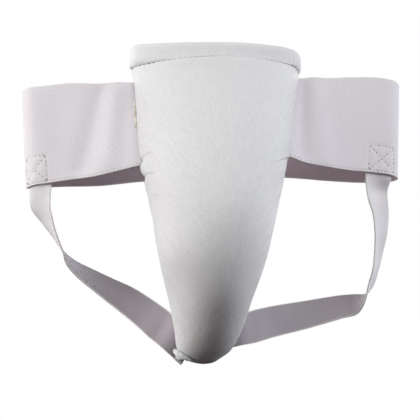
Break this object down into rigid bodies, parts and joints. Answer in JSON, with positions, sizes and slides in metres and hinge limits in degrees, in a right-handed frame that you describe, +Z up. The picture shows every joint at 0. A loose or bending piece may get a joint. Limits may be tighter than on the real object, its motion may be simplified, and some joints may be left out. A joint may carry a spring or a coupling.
{
  "type": "groin guard",
  "caption": "White padded vinyl groin guard: a tapered hollow cup with a rolled top edge, hung from a wide elastic waistband, with elastic leg straps.",
  "frame": {"origin": "centre of the waistband's loop at half its height, where a wearer's waist holds the guard", "axes": "+X to the viewer's right across the front, +Y to the wearer's back, +Z up along the wearer's body"},
  "size_m": [0.2976, 0.1579, 0.2437],
  "materials": {
    "vinyl": "fine grained white vinyl, soft sheen",
    "waist_elastic": "matt woven elastic, pale grey-white",
    "strap_elastic": "matt ribbed elastic, pale grey-white"
  },
  "bodies": {
    "root": {"cup_cover": "vinyl", "top_roll": "vinyl", "hem_fold": "vinyl", "waistband": "waist_elastic", "leg_strap_left": "strap_elastic", "leg_strap_right": "strap_elastic"}
  },
  "joints": []
}
